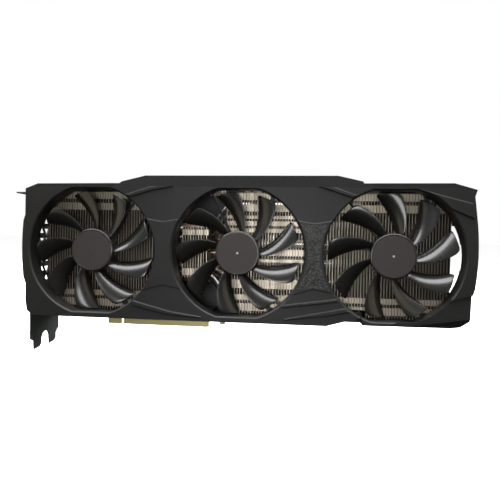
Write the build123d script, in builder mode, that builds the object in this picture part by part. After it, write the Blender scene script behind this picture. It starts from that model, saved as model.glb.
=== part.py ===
"""Triple-fan graphics card: cooler, fans, circuit board, bracket and backplate.

Row frame, in millimetres: X runs along the card from the bracket's outer face, Y runs from the
fan side (negative) to the backplate side, and Z runs up from the tip of the edge connector.
Y = 0 is the component face of the circuit board.
"""
from build123d import *
from math import cos, pi, radians, sin, tan
import os

# ---------------------------------------------------------------- driving dimensions
fan_count = 3
fan_spacing = 105.8
first_fan_x = 52.8
fan_z = 61.7
fan_names = ["left", "middle", "right"]
blade_phase = [23.0, 21.5, 14.5]  # direction of the first blade's tip on each fan, degrees

shroud_face_y = -46.0
shroud_wall = 2.0
shroud_inner_y = -43.0
shroud_rear_y = -4.0
end_window_y = -36.0
relief = 0.9
panel_relief = 0.45
brow_drop = 0.9
corner_drop = 1.4
opening_r = 46.4
opening_half_height = 44.2
duct_wall = 1.6
duct_rear_y = -35.0
post_reach = 48.2  # from a fan's axis to the posts that its frame is screwed to
post_angles = [60.0, 180.0, 300.0]
post_r = 2.6
post_hole_r = 1.0

frame_y = -33.0  # front face of each fan frame
frame_t = 1.4
hub_r = 15.5
hub_wall = 1.4
hub_front = 11.2  # heights in the fan are measured from the frame's front face
hub_rear = 2.0
socket_depth = 8.0  # lower end of the hub's socket for the shaft
tip_r = 43.4
blade_count = 9
shaft_r = 1.5
bearing_clearance = 0.05
sleeve_r = 3.2
boss_r = 4.6
arm_w = 3.4
disc_r = 14.6
boss_height = 7.2
screw_head = 0.9

board_t = 1.6
board_left_x = 2.2
board_right_x = 270.0
board_top_z = 111.15
board_bottom_z = 8.25
key_x = 58.3
tongue_left_x = key_x - 12.15
tongue_right_x = key_x + 72.15
key_w = 1.9
key_h = 7.5

gpu_x = 128.0
gpu_z = 60.5
pipe_r = 3.0
pipe_count = 6
plate_pipe_y = -8.3
stack_pipe_y = -17.0
fin_front_y = -30.8
fin_rear_y = -11.6
short_fin_rear_y = -21.2
fin_t = 0.4
fin_pitch = 2.0
fin_gap = 0.35
fin_bottom_z = 17.4
fin_top_z = 105.2
notch_fin_z = 22.8

bracket_t = 0.9
bracket_near_y = -35.54
bracket_far_y = 3.2
bracket_top_z = 104.1
bracket_tip_z = -15.9
slot_pitch = 20.32
first_slot_y = -6.0
tab_depth = 11.43
prong_w = 10.19

socket_x = [229.0, 249.5]
socket_w, socket_d, socket_h = 18.6, 10.0, 13.5
pin_pitch = 4.2
socket_mid_y = -5.6

backplate_y = 3.6
backplate_t = 1.2
backplate_right_x = 314.0

os.makedirs("parts", exist_ok=True)


def front(y):
    """Plane facing the fan side at the given Y, drawn in card X and Z."""
    return Plane(origin=(0, y, 0), x_dir=(1, 0, 0), z_dir=(0, -1, 0))


def fan_plane(index, y=frame_y):
    """Plane facing the fan side, centred on one fan's axis."""
    return Plane(origin=(first_fan_x + index * fan_spacing, y, fan_z), x_dir=(1, 0, 0), z_dir=(0, -1, 0))


def save(builder, label):
    builder.part.label = label
    export_step(builder.part, f"parts/{label}.step")


def stack_z(k):
    """Height of heat pipe k inside the fin stacks."""
    return 27.0 + k * 13.9


def plate_z(k):
    """Height of heat pipe k where it lies on the cold plate."""
    return gpu_z + (k - (pipe_count - 1) / 2) * 7.0


# ---------------------------------------------------------------- shroud
post_positions = [
    (post_reach * cos(radians(angle)), post_reach * sin(radians(angle))) for angle in post_angles
]
shroud_screw_x = [52.0, 132.0, 212.0]
shroud_screw_y = -24.0
wall_vent_x = [32.0 + 40.0 * n for n in range(7)]
wall_vent_y = -26.0
wall_vent_w, wall_vent_d = 26.0, 13.0
left_window_h = 90.0
right_window_z, right_window_h = 57.0, 54.0


def make_shroud():
    with BuildPart() as shroud:
        with BuildSketch(front(shroud_rear_y)) as outline:
            with BuildLine():
                left_bulge = ThreePointArc((1.6, 82.5), (0.6, 62.0), (1.6, 41.5))
                lower = Polyline(
                    left_bulge @ 1, (3.2, 37.0), (3.2, 25.0), (4.4, 16.8), (9.0, 13.4),
                    (220.5, 13.4), (244.0, 20.0), (244.6, 14.8), (303.5, 14.4), (309.0, 15.3),
                    (314.3, 19.5), (314.8, 36.0), (316.4, 41.7),
                )
                right_bulge = ThreePointArc(lower @ 1, (317.8, 66.0), (316.0, 90.7))
                Polyline(
                    right_bulge @ 1, (314.6, 102.0), (316.0, 106.4), (301.5, 110.6),
                    (243.6, 110.3), (243.0, 111.6), (226.5, 115.4), (92.6, 115.2),
                    (75.5, 111.0), (73.6, 109.7), (12.6, 109.2), (3.2, 105.6), (3.0, 86.5),
                    left_bulge @ 0,
                )
            make_face()
        extrude(amount=shroud_rear_y - shroud_face_y)

        # raised panels in the waists between the fans
        for waist in (0, 1):
            x_mid = first_fan_x + (waist + 0.5) * fan_spacing
            with BuildSketch(front(shroud_face_y)):
                with BuildLine():
                    Polyline(
                        (x_mid - 18, 86), (x_mid, 83), (x_mid + 18, 86), (x_mid + 18, 35),
                        (x_mid, 38), (x_mid - 18, 33), close=True,
                    )
                make_face()
            extrude(amount=panel_relief, taper=45)

        # bevelled ribs that run towards the corners
        ribs = [
            [(76, 98), (98, 104.5), (128, 110.2), (128, 111.6), (96, 107.4), (76, 101)],
            [(186, 111.4), (216, 107.0), (243, 98), (243, 101), (218, 110.0), (186, 112.8)],
            [(84, 27), (112, 20.0), (134, 17.0), (134, 15.6), (110, 17.2), (84, 23)],
            [(192, 17.6), (222, 24.0), (244, 28.5), (244, 25), (222, 20.4), (192, 16.2)],
            [(190, 27), (222, 31.5), (240, 34.5), (240, 32.5), (222, 29), (190, 24.6)],
            [(276, 107.6), (313.6, 97.5), (314.6, 87), (288, 98.5)],
        ]
        for rib in ribs:
            with BuildSketch(front(shroud_face_y)):
                with BuildLine():
                    Polyline(*rib, close=True)
                make_face()
            extrude(amount=relief, taper=35)

        # the brow above the middle fan slopes back, and so does the lower right corner
        with BuildSketch(Plane.YZ.offset(70)):
            with BuildLine():
                Polyline(
                    (shroud_face_y - 2, 107.6), (shroud_face_y, 107.6), (shroud_face_y + brow_drop, 116),
                    (shroud_face_y - 2, 116), close=True,
                )
            make_face()
        extrude(amount=180, mode=Mode.SUBTRACT)
        with BuildSketch(front(shroud_face_y - 2)):
            with BuildLine():
                Polyline((290, 30.5), (320, 38.5), (320, 10), (262, 10), (262, 14.5), close=True)
            make_face()
        extrude(amount=-2 - corner_drop, mode=Mode.SUBTRACT)
        # a facet that leans back along the foot of that corner
        lean = radians(25)
        rise = Vector(50, 0, 8).normalized()
        outward = Vector(rise.Z * sin(lean), -cos(lean), -rise.X * sin(lean))
        with BuildSketch(Plane(origin=(266, shroud_face_y + corner_drop, 13.5), x_dir=rise, z_dir=outward)):
            Rectangle(130, 60)
        extrude(amount=20, mode=Mode.SUBTRACT)

        # hollow behind the face
        with BuildSketch(front(shroud_rear_y)):
            offset(outline.sketch, amount=-shroud_wall)
        extrude(amount=shroud_rear_y - shroud_inner_y, mode=Mode.SUBTRACT)

        # a round duct with a fan post at each corner, for every fan
        for i in range(fan_count):
            with BuildSketch(fan_plane(i, shroud_inner_y - 1)):
                Circle(opening_r + duct_wall)
                Rectangle(120, 2 * (opening_half_height + duct_wall), mode=Mode.INTERSECT)
            extrude(amount=-(duct_rear_y - shroud_inner_y + 1))
            with BuildSketch(fan_plane(i, shroud_inner_y - 1)):
                with Locations(*post_positions):
                    Circle(post_r)
            extrude(amount=-(frame_y - shroud_inner_y + 1))
        for i in range(fan_count):
            with BuildSketch(fan_plane(i, shroud_face_y - 2)):
                Circle(opening_r)
                Rectangle(120, 2 * opening_half_height, mode=Mode.INTERSECT)
            extrude(amount=-(duct_rear_y - shroud_face_y + 3), mode=Mode.SUBTRACT)
            with BuildSketch(fan_plane(i, shroud_face_y - relief)):
                Circle(opening_r + 1.8)
                Rectangle(120, 2 * (opening_half_height + 1.8), mode=Mode.INTERSECT)
            extrude(amount=-1.8 - relief, taper=45, mode=Mode.SUBTRACT)
            with BuildSketch(fan_plane(i, frame_y)):
                with Locations(*post_positions):
                    Circle(post_hole_r + 0.1)
            extrude(amount=7.5, mode=Mode.SUBTRACT)

        # vents along the long walls, and open ends behind the face
        with BuildSketch(Plane.XY.offset(5)):
            with Locations(*[(x, wall_vent_y) for x in wall_vent_x]):
                SlotOverall(wall_vent_w, wall_vent_d)
        extrude(amount=120, mode=Mode.SUBTRACT)
        window_mid_y = (end_window_y + shroud_rear_y) / 2 + 1
        window_d = shroud_rear_y - end_window_y + 2
        with Locations((0, window_mid_y, fan_z)):
            Box(12, window_d, left_window_h, mode=Mode.SUBTRACT)
        with Locations((316, window_mid_y, right_window_z)):
            Box(12, window_d, right_window_h, mode=Mode.SUBTRACT)
        # room for the power plugs
        with Locations(((socket_x[0] + socket_x[1]) / 2, shroud_rear_y - 4, 110)):
            Box(socket_x[1] - socket_x[0] + socket_w + 4, 12, 20, mode=Mode.SUBTRACT)
        with BuildSketch(Plane.XY.offset(5)):
            with Locations(*[(x, shroud_screw_y) for x in shroud_screw_x]):
                Circle(1.6)
        extrude(amount=15, mode=Mode.SUBTRACT)
    save(shroud, "shroud")


# ---------------------------------------------------------------- one fan
def blade_section(radius, direction, width, height, camber, thick):
    """Crescent section of a blade on a plane square to its radius."""
    a = radians(direction)
    plane = Plane(
        origin=(radius * cos(a), radius * sin(a), 0), x_dir=(-sin(a), cos(a), 0),
        z_dir=(cos(a), sin(a), 0),
    )
    mid = (hub_front + hub_rear) / 2 + 0.2
    lead = (-width / 2, mid + height / 2)
    trail = (width / 2, mid - height / 2)
    chord = (width**2 + height**2) ** 0.5
    nx, ny = height / chord, width / chord
    edge = 0.45

    def bowed(shift):
        return (nx * shift, mid + ny * shift)

    with BuildSketch(plane) as section:
        with BuildLine():
            upper = ThreePointArc(
                (lead[0] + nx * edge, lead[1] + ny * edge), bowed(camber + thick / 2),
                (trail[0] + nx * edge, trail[1] + ny * edge),
            )
            lower = ThreePointArc(
                (trail[0] - nx * edge, trail[1] - ny * edge), bowed(camber - thick / 2),
                (lead[0] - nx * edge, lead[1] - ny * edge),
            )
            Line(upper @ 1, lower @ 0)
            Line(lower @ 1, upper @ 0)
        make_face()
    return section


def make_blade():
    """One swept blade about the Z axis, its tip pointing along +X."""
    with BuildPart() as blade:
        add(blade_section(hub_r - 1.2, -21, 3.6, 6.4, 0.5, 1.5).sketch)
        add(blade_section(24, -13.5, 7.4, 7.4, 1.0, 1.5).sketch)
        add(blade_section(34, -5.5, 11.6, 7.6, 1.5, 1.4).sketch)
        add(blade_section(tip_r + 3, 2.5, 15.6, 7.2, 1.8, 1.3).sketch)
        loft()
        with BuildSketch(Plane.XZ):
            with BuildLine():
                Polyline(
                    (hub_r - 1.0, hub_rear + 0.3), (tip_r - 3, hub_rear + 0.3), (tip_r, hub_rear + 4),
                    (tip_r, hub_front - 3.6), (tip_r - 4.5, hub_front), (hub_r - 1.0, hub_front),
                    close=True,
                )
            make_face()
        revolve(axis=Axis.Z, mode=Mode.INTERSECT)
    return blade


def make_rotor(index, blade):
    with BuildPart(fan_plane(index)) as rotor:
        with BuildSketch(Plane(fan_plane(index).origin, x_dir=(1, 0, 0), z_dir=(0, 0, 1))):
            with BuildLine():
                Polyline(
                    (0, -hub_front), (hub_r - 1.0, -hub_front), (hub_r, -hub_front + 1.0),
                    (hub_r, -hub_rear), (hub_r - hub_wall, -hub_rear),
                    (hub_r - hub_wall, -hub_front + 1.6), (sleeve_r, -hub_front + 1.6),
                    (sleeve_r, -socket_depth), (shaft_r, -socket_depth),
                    (shaft_r, -hub_front + 1.8), (0, -hub_front + 1.8), close=True,
                )
            make_face()
        revolve(axis=Axis(fan_plane(index).origin, (0, 1, 0)))
        with PolarLocations(0, blade_count, start_angle=blade_phase[index]):
            add(blade.part)
    save(rotor, f"fan_{fan_names[index]}_rotor")


def ring(index, low, high, inner, outer):
    """Plain ring about a fan's axis between two heights above its frame."""
    with BuildPart() as piece:
        with BuildSketch(fan_plane(index, frame_y - low)):
            Circle(outer)
            if inner:
                Circle(inner, mode=Mode.SUBTRACT)
        extrude(amount=high - low)
    return piece


def make_fan(index, blade):
    name = f"fan_{fan_names[index]}"
    make_rotor(index, blade)

    # steel cup pressed into the hub, its magnet ring, and the shaft
    yoke_r = hub_r - hub_wall
    with BuildPart() as yoke:
        with BuildSketch(fan_plane(index, frame_y - 2.6)):
            Circle(yoke_r)
        extrude(amount=7.0)
        with BuildSketch(fan_plane(index, frame_y - 2.6)):
            Circle(yoke_r - 0.8)
        extrude(amount=6.2, mode=Mode.SUBTRACT)
        with BuildSketch(fan_plane(index, frame_y - 2.6)):
            Circle(sleeve_r)
        extrude(amount=7.0, mode=Mode.SUBTRACT)
    save(yoke, f"{name}_yoke")
    save(ring(index, 3.4, 8.6, yoke_r - 2.3, yoke_r - 0.8), f"{name}_magnet")
    save(ring(index, -0.6, hub_front - 1.8, 0, shaft_r), f"{name}_shaft")

    # frame: a rear disc with the bearing boss, and an arm swept like the blades to each post
    sweep_points = [(disc_r - 2, -22.0), (30.0, -8.6), (post_reach, 0.0)]
    arm_points = [
        (reach * cos(radians(post_angles[0] + turn)), reach * sin(radians(post_angles[0] + turn)))
        for reach, turn in sweep_points
    ]
    arm = Edge.make_three_point_arc(*arm_points)
    with BuildPart() as frame:
        with BuildSketch(fan_plane(index, frame_y + frame_t)):
            Circle(disc_r)
            with PolarLocations(0, len(post_angles)):
                SlotArc(arm, arm_w)
            with Locations(*post_positions):
                Circle(post_r + 0.2)
        extrude(amount=frame_t)
        with BuildSketch(fan_plane(index, frame_y)):
            Circle(boss_r)
        extrude(amount=boss_height)
        with BuildSketch(fan_plane(index, frame_y - boss_height)):
            Circle(sleeve_r)
        extrude(amount=-(boss_height + 0.9), mode=Mode.SUBTRACT)
        for hole_r, depth in ((post_hole_r + 0.1, frame_t), (2.1, screw_head)):
            with BuildSketch(fan_plane(index, frame_y + frame_t)):
                with Locations(*post_positions):
                    Circle(hole_r)
            extrude(amount=depth, mode=Mode.SUBTRACT)
    save(frame, f"{name}_frame")
    save(ring(index, -0.9, 7.4, shaft_r + bearing_clearance, sleeve_r), f"{name}_bearing")

    # stator: laminated star with four poles, one winding round each pole, and the motor board
    stator_low, stator_high = 3.6, 7.0
    with BuildPart() as stator:
        with BuildSketch(fan_plane(index, frame_y - stator_low)):
            Circle(11.2)
            Circle(10.0, mode=Mode.SUBTRACT)
            with PolarLocations(11, 4, start_angle=45):
                Rectangle(8, 2.4, mode=Mode.SUBTRACT)
            Circle(6.2)
            with PolarLocations(7.0, 4):
                Rectangle(7.0, 2.6)
            Circle(boss_r, mode=Mode.SUBTRACT)
        extrude(amount=stator_high - stator_low)
    save(stator, f"{name}_stator")
    with BuildPart() as windings:
        with BuildSketch(fan_plane(index, frame_y - stator_low + 1.0)):
            with PolarLocations(8.1, 4):
                RectangleRounded(3.4, 5.6, 1.2)
        extrude(amount=stator_high - stator_low + 2.0)
        with BuildSketch(fan_plane(index, frame_y - stator_low)):
            with PolarLocations(8.1, 4):
                Rectangle(3.6, 2.6)
        extrude(amount=stator_high - stator_low, mode=Mode.SUBTRACT)
    save(windings, f"{name}_windings")
    save(ring(index, 0, 0.8, boss_r, 12.4), f"{name}_motor_board")


# ---------------------------------------------------------------- fan leads, plugs and screws
lead_r = 0.8
lead_y = frame_y - lead_r - 0.05
header_x = [108.0, 136.6, 165.0]
lead_angle = [52.0, 115.0, 128.0]
lead_z = 108.4
plug_front_y = -13.0


def lead_route(index):
    """Points of one fan's lead, from the motor board to its plug on the circuit board."""
    x = first_fan_x + index * fan_spacing
    a = radians(lead_angle[index])
    start = (x + 12.9 * cos(a), lead_y, fan_z + 12.9 * sin(a))
    end = (header_x[index], plug_front_y, lead_z)
    if index == 0:
        middle = [(x + 36.2, lead_y, fan_z + 46.3), (header_x[0], lead_y, lead_z)]
    elif index == 1:
        middle = [(header_x[1], lead_y, lead_z)]
    else:
        middle = [
            (x - 36.2, lead_y, fan_z + 46.3), (199.0, lead_y + 0.6, lead_z + 1.4),
            (header_x[2], lead_y, lead_z),
        ]
    return [start, *middle, end]


def corner_radii(points):
    """Largest fitting radius at every inner corner of a route."""
    radii = []
    for before, here, after in zip(points, points[1:], points[2:]):
        into, out = Vector(*here) - Vector(*before), Vector(*after) - Vector(*here)
        turn = radians(into.get_angle(out))
        radii.append(0.45 * min(into.length, out.length) / tan(turn / 2))
    return radii


def make_leads():
    for i in range(fan_count):
        points = lead_route(i)
        radii = corner_radii(points)
        print(fan_names[i], "lead radii", [round(r, 1) for r in radii])
        with BuildPart() as lead:
            with BuildLine() as path:
                FilletPolyline(*points, radius=radii)
            start = path.line @ 0
            with BuildSketch(Plane(origin=start, z_dir=path.line % 0)):
                Circle(lead_r)
            sweep()
        length = sum(edge.length for edge in path.line.edges())
        fullness = lead.part.volume / (length * pi * lead_r**2)
        print("  length", round(length, 1), "volume against section times length", round(fullness, 3))
        save(lead, f"fan_{fan_names[i]}_lead")


def make_plugs():
    plug_l = 7.0
    with BuildPart() as plugs:
        for x in header_x:
            with Locations((x, plug_front_y + plug_l / 2, lead_z)):
                Box(9.8, plug_l, 4.4)
    save(plugs, "fan_plugs")
    with BuildPart() as headers:
        for x in header_x:
            with Locations((x, -2.9, lead_z - 0.6)):
                Box(12.4, 5.8, 4.2)
            with Locations((x, -2.9 - 0.8, lead_z - 0.6 + 0.6)):
                Box(10.0, 4.3, 3.2, mode=Mode.SUBTRACT)
            for pin in range(4):
                with Locations((x + (pin - 1.5) * 2.0, -3.1, lead_z + 0.2)):
                    Box(0.5, 5.5, 0.5)
    save(headers, "fan_headers")


# ---------------------------------------------------------------- fin stacks and heat pipes
tab_rows = [(91.6, 96.8), (99.8, 104.8), (19.6, 25.0), (27.4, 31.4)]
lattice_rows = tab_rows + [
    (86.4, 88.6), (81.4, 84.6), (76.6, 79.4), (60.0, 64.4), (55.4, 57.2), (36.0, 42.0),
]


def make_fin(rear_y, rows, piped, bottom_z=fin_bottom_z, top_z=fin_top_z, front_y=fin_front_y):
    """One fin with its bent edge tabs, standing at X = 0."""
    with BuildPart() as fin:
        with BuildSketch(Plane.YZ):
            with Locations(((front_y + rear_y) / 2, (bottom_z + top_z) / 2)):
                Rectangle(rear_y - front_y, top_z - bottom_z)
            if piped:
                with Locations(*[(stack_pipe_y, stack_z(k)) for k in range(pipe_count)]):
                    Circle(pipe_r + 0.05, mode=Mode.SUBTRACT)
        extrude(amount=fin_t)
        with BuildSketch(Plane.YZ.offset(fin_t)):
            for low, high in rows:
                low = max(low, bottom_z)
                with Locations((front_y + fin_t / 2, (low + high) / 2)):
                    Rectangle(fin_t, high - low)
        extrude(amount=fin_pitch - fin_t - fin_gap)
    return fin


def make_stack(label, groups):
    """A stack is groups of equal fins: (fin, first x, number of fins)."""
    with BuildPart() as stack:
        for fin, first_x, count in groups:
            with Locations(*[(first_x + n * fin_pitch, 0, 0) for n in range(count)]):
                add(fin.part, clean=False)
    save(stack, label)


def make_stacks():
    full = make_fin(fin_rear_y, tab_rows, True)
    short = make_fin(short_fin_rear_y, tab_rows, False)
    short_lattice = make_fin(short_fin_rear_y, lattice_rows, False)
    lattice = make_fin(fin_rear_y, lattice_rows, True)
    low = make_fin(-12.0, [(44.0, 49.0), (74.0, 78.0)], False, 42.0, 80.0, -27.0)
    make_stack("fin_stack_left", [(full, 13.0, 33), (short, 79.0, 17)])
    make_stack("fin_stack_middle", [(low, 115.0, 10)])
    notched = make_fin(fin_rear_y, tab_rows, True, bottom_z=notch_fin_z)
    make_stack(
        "fin_stack_right",
        [
            (short_lattice, 149.0, 15), (lattice, 179.0, 17), (full, 213.0, 2), (notched, 217.0, 16),
            (full, 249.0, 29),
        ],
    )


def make_pipes():
    with BuildPart() as pipes:
        for k in range(pipe_count):
            points = [
                (14.5, stack_pipe_y, stack_z(k)), (82.5, stack_pipe_y, stack_z(k)),
                (101.0, plate_pipe_y, plate_z(k)), (133.0, plate_pipe_y, plate_z(k)),
                (149.5, stack_pipe_y, stack_z(k)), (305.0, stack_pipe_y, stack_z(k)),
            ]
            with BuildLine(mode=Mode.PRIVATE) as path:
                FilletPolyline(*points, radius=10)
            with BuildSketch(Plane.YZ.offset(14.5)):
                with Locations((stack_pipe_y, stack_z(k))):
                    Circle(pipe_r)
            sweep(path=path.line)
    save(pipes, "heat_pipes")


# ---------------------------------------------------------------- board and what is on it
die_top_y = -2.0
cold_plate_w = 46.0
base_plate_y = -2.2
base_plate_t = 1.5
base_plate_x, base_plate_w, base_plate_h = 139.0, 238.0, 86.0
memory_spots = [(gpu_x + side * 33.5, gpu_z + row * 16.0) for side in (-1, 1) for row in (-1, 0, 1)]
memory_spots += [(gpu_x + col * 15.5, gpu_z + 33.0) for col in (-1, 0, 1)]
power_columns = [76.0, 188.0]
power_rows = [22.0 + 10.0 * n for n in range(7)]
bracket_holes = [(6.0, 104.0), (6.0, 15.0)]
board_holes = [(98.0, 100.0), (206.0, 104.0), (98.0, 15.0), (222.0, 15.0)]
spring_spots = [(gpu_x + sx * 27.0, gpu_z + sz * 27.0) for sx in (-1, 1) for sz in (-1, 1)]


def make_board():
    with BuildPart() as pcb:
        with BuildSketch(front(0)):
            with BuildLine():
                Polyline(
                    (board_left_x, board_top_z), (board_left_x, board_bottom_z + 4), (12, board_bottom_z),
                    (tongue_left_x, board_bottom_z), (tongue_left_x, 0.6), (tongue_left_x + 0.6, 0),
                    (tongue_right_x - 0.6, 0), (tongue_right_x, 0.6),
                    (tongue_right_x, board_bottom_z - 1.5),
                    (tongue_right_x + 2.0, board_bottom_z - 1.5), (tongue_right_x + 2.0, 5.2),
                    (tongue_right_x + 9.0, 5.2), (tongue_right_x + 9.0, 2.6), (tongue_right_x + 13.2, 2.6),
                    (tongue_right_x + 13.2, board_bottom_z), (board_right_x, board_bottom_z),
                    (board_right_x, board_top_z), close=True,
                )
            make_face()
            with Locations((key_x, key_h / 2 - 1)):
                Rectangle(key_w, key_h + 2, mode=Mode.SUBTRACT)
            with Locations(*bracket_holes, *board_holes, *spring_spots):
                Circle(1.6, mode=Mode.SUBTRACT)
        extrude(amount=-board_t)
    save(pcb, "pcb")

    contact_t = 0.06
    with BuildPart() as contacts:
        for low, high in ((tongue_left_x + 0.5, key_x - 1.4), (key_x + 1.4, tongue_right_x - 0.5)):
            count = round(high - low)
            for y, grow in ((0, contact_t), (board_t, -contact_t)):
                with BuildSketch(front(y)):
                    with Locations(*[(low + 0.5 + n, 2.9) for n in range(count)]):
                        Rectangle(0.7, 4.2)
                extrude(amount=grow)
    save(contacts, "edge_contacts")


def blocks(spots, width, height, low, high, corner=0.0):
    """Equal upright blocks on the board, from one height above it to another."""
    with BuildPart() as group:
        with BuildSketch(front(-low)):
            with Locations(*spots):
                if corner:
                    RectangleRounded(width, height, corner)
                else:
                    Rectangle(width, height)
        extrude(amount=high - low)
    return group


def make_board_parts():
    centre = [(gpu_x, gpu_z)]
    save(blocks(centre, 44.0, 44.0, 0, 1.2), "gpu_substrate")
    save(blocks(centre, 24.0, 26.0, 1.2, -die_top_y), "gpu_die")
    with BuildPart() as package_frame:
        with BuildSketch(front(-1.2)):
            with Locations(*centre):
                RectangleRounded(44, 44, 1.5)
                Rectangle(35, 35, mode=Mode.SUBTRACT)
        extrude(amount=0.6)
    save(package_frame, "package_frame")

    save(blocks(memory_spots, 12.0, 14.0, 0, 1.2, 0.4), "memory_chips")
    stage_spots = [(x + 9.0, z) for x in power_columns for z in power_rows]
    save(blocks(stage_spots, 6.0, 5.0, 0, 0.9), "power_stages")
    with BuildPart() as pads:
        with BuildSketch(front(-1.2)):
            with Locations(*memory_spots):
                Rectangle(11, 13)
        extrude(amount=1.0)
        with BuildSketch(front(-0.9)):
            with Locations(*stage_spots):
                Rectangle(6, 7)
        extrude(amount=1.3)
    save(pads, "thermal_pads")
    choke_spots = [(x, z) for x in power_columns for z in power_rows]
    save(blocks(choke_spots, 7.6, 7.6, 0, 5.0, 0.9), "chokes")
    with BuildPart() as capacitors:
        for x in power_columns:
            with BuildSketch(front(0)):
                with Locations(*[(x - 8.0, z) for z in power_rows]):
                    Rectangle(6.0, 6.0)
            extrude(amount=0.7)
            with BuildSketch(front(-0.7)):
                with Locations(*[(x - 8.0, z) for z in power_rows]):
                    Circle(2.8)
            extrude(amount=4.6)
    save(capacitors, "capacitors")


def make_power_sockets():
    top = board_top_z + 0.6
    with BuildPart() as sockets:
        for x in socket_x:
            with Locations((x, socket_mid_y, top - socket_h / 2)):
                Box(socket_w, socket_d, socket_h)
            with Locations((x, socket_mid_y - socket_d / 2 - 0.6, top - 4)):
                Box(5.0, 1.2, 3.0)
        with BuildSketch(Plane.XY.offset(top)):
            for x in socket_x:
                for column in range(4):
                    for row in range(2):
                        spot = (x + (column - 1.5) * pin_pitch, socket_mid_y + (row - 0.5) * pin_pitch)
                        with Locations(spot):
                            RectangleRounded(3.5, 3.5, 0.7)
        extrude(amount=-11.0, mode=Mode.SUBTRACT)
    save(sockets, "power_sockets")
    with BuildPart() as pins:
        for x in socket_x:
            for column in range(4):
                for row in range(2):
                    spot = (x + (column - 1.5) * pin_pitch, socket_mid_y + (row - 0.5) * pin_pitch)
                    with Locations((*spot, top - 11.0 + 3.5)):
                        Box(1.1, 1.1, 7.0)
    save(pins, "power_pins")


def make_cold_plate():
    with BuildPart() as cold_plate:
        with BuildSketch(front(die_top_y - 0.05)):
            with Locations((gpu_x, gpu_z)):
                RectangleRounded(cold_plate_w, cold_plate_w, 2)
        extrude(amount=-plate_pipe_y + die_top_y + 0.05 - 1.0)
        for k in range(pipe_count):
            with BuildSketch(Plane.YZ.offset(gpu_x - 40)):
                with Locations((plate_pipe_y, plate_z(k))):
                    Circle(pipe_r + 0.03)
            extrude(amount=80, mode=Mode.SUBTRACT)
    save(cold_plate, "cold_plate")


def make_base_plate():
    post_spots = [(98.0, 100.0)]
    with BuildPart() as base_plate:
        with BuildSketch(front(base_plate_y)):
            with Locations((base_plate_x, gpu_z)):
                RectangleRounded(base_plate_w, base_plate_h, 3)
            with Locations((gpu_x, gpu_z)):
                Rectangle(cold_plate_w + 4, cold_plate_w + 4, mode=Mode.SUBTRACT)
            with Locations(*[(x - 4.2, power_rows[3]) for x in power_columns]):
                Rectangle(18.0, 72, mode=Mode.SUBTRACT)
            with Locations((240, 106)):
                Rectangle(46, 30, mode=Mode.SUBTRACT)
            with Locations(*spring_spots):
                Circle(1.6, mode=Mode.SUBTRACT)
        extrude(amount=base_plate_t)
        # upright ears that the shroud screws to
        for x in shroud_screw_x:
            with Locations((x, (shroud_screw_y - 4 + base_plate_y) / 2, 16.4)):
                Box(9, base_plate_y - shroud_screw_y + 4, 1.2)
            with Locations((x, base_plate_y - base_plate_t / 2, 17.4)):
                Box(9, base_plate_t, 3.2)
        with BuildSketch(Plane.XY.offset(14)):
            with Locations(*[(x, shroud_screw_y) for x in shroud_screw_x]):
                Circle(1.2)
        extrude(amount=4, mode=Mode.SUBTRACT)
        # posts down to the circuit board
        with BuildSketch(front(base_plate_y - base_plate_t)):
            with Locations(*post_spots):
                Circle(2.8)
        extrude(amount=base_plate_y - base_plate_t + 0.05)
        with BuildSketch(front(base_plate_y - base_plate_t)):
            with Locations(*post_spots):
                Circle(1.35)
        extrude(amount=base_plate_y - base_plate_t + 0.05, mode=Mode.SUBTRACT)
    save(base_plate, "base_plate")


# ---------------------------------------------------------------- bracket, sockets, backplate
port_z = [28.0, 49.5, 71.0]
hdmi_z = 90.0
port_y = -4.4
port_h, port_w, hdmi_w = 6.3, 16.8, 15.2
port_gap = 0.3  # round each socket in the bracket
port_depth, hdmi_depth = 18.0, 15.0
port_stand = 0.6  # how far a socket stands out of the bracket
vent_triangle_r = 3.3


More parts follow.
